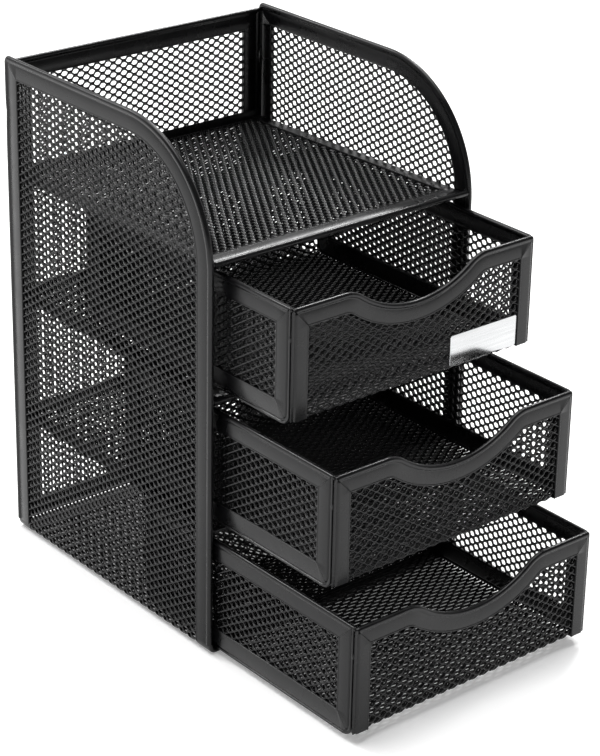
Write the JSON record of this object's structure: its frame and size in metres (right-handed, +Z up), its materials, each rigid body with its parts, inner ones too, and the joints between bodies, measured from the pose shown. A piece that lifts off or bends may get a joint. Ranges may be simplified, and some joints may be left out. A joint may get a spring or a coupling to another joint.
{
  "type": "mesh desk organizer with drawers",
  "caption": "Black steel mesh desk organizer: an open top tray between quarter-round side walls, over stacked drawers with wavy front edges.",
  "frame": {"origin": "centre of the cabinet's base, on the surface it stands on", "axes": "+Z up, +X to the right seen from the front, -Y to the front, where the drawers come out"},
  "size_m": [0.13, 0.2147, 0.208],
  "materials": {
    "black_powder_coat": "semi-gloss black powder coat",
    "bright_metal": "bright satin metal"
  },
  "bodies": {
    "cabinet": {"wraparound_mesh": "black_powder_coat", "left_side_binding": "black_powder_coat", "right_side_binding": "black_powder_coat", "base_front_binding": "black_powder_coat", "base_rear_binding": "black_powder_coat", "back_panel_mesh": "black_powder_coat", "back_panel_binding": "black_powder_coat", "tray_mesh": "black_powder_coat", "tray_binding": "black_powder_coat", "upper_shelf_mesh": "black_powder_coat", "upper_shelf_binding": "black_powder_coat", "lower_shelf_mesh": "black_powder_coat", "lower_shelf_binding": "black_powder_coat"},
    "top_drawer": {"top_drawer_tub_mesh": "black_powder_coat", "top_drawer_left_mesh": "black_powder_coat", "top_drawer_right_mesh": "black_powder_coat", "top_drawer_left_binding": "black_powder_coat", "top_drawer_right_binding": "black_powder_coat", "top_drawer_front_binding": "black_powder_coat", "top_drawer_rear_binding": "black_powder_coat", "label_plate": "bright_metal"},
    "middle_drawer": {"middle_drawer_tub_mesh": "black_powder_coat", "middle_drawer_left_mesh": "black_powder_coat", "middle_drawer_right_mesh": "black_powder_coat", "middle_drawer_left_binding": "black_powder_coat", "middle_drawer_right_binding": "black_powder_coat", "middle_drawer_front_binding": "black_powder_coat", "middle_drawer_rear_binding": "black_powder_coat"},
    "bottom_drawer": {"bottom_drawer_tub_mesh": "black_powder_coat", "bottom_drawer_left_mesh": "black_powder_coat", "bottom_drawer_right_mesh": "black_powder_coat", "bottom_drawer_left_binding": "black_powder_coat", "bottom_drawer_right_binding": "black_powder_coat", "bottom_drawer_front_binding": "black_powder_coat", "bottom_drawer_rear_binding": "black_powder_coat"}
  },
  "joints": [
    {"name": "top_drawer_slide", "type": "slide", "parent": "cabinet", "child": "top_drawer", "axis": [0, -1, 0], "range_m": [-0.0386, 0.057]},
    {"name": "middle_drawer_slide", "type": "slide", "parent": "cabinet", "child": "middle_drawer", "axis": [0, -1, 0], "range_m": [-0.0657, 0.03]},
    {"name": "bottom_drawer_slide", "type": "slide", "parent": "cabinet", "child": "bottom_drawer", "axis": [0, -1, 0], "range_m": [-0.0816, 0.014]}
  ]
}
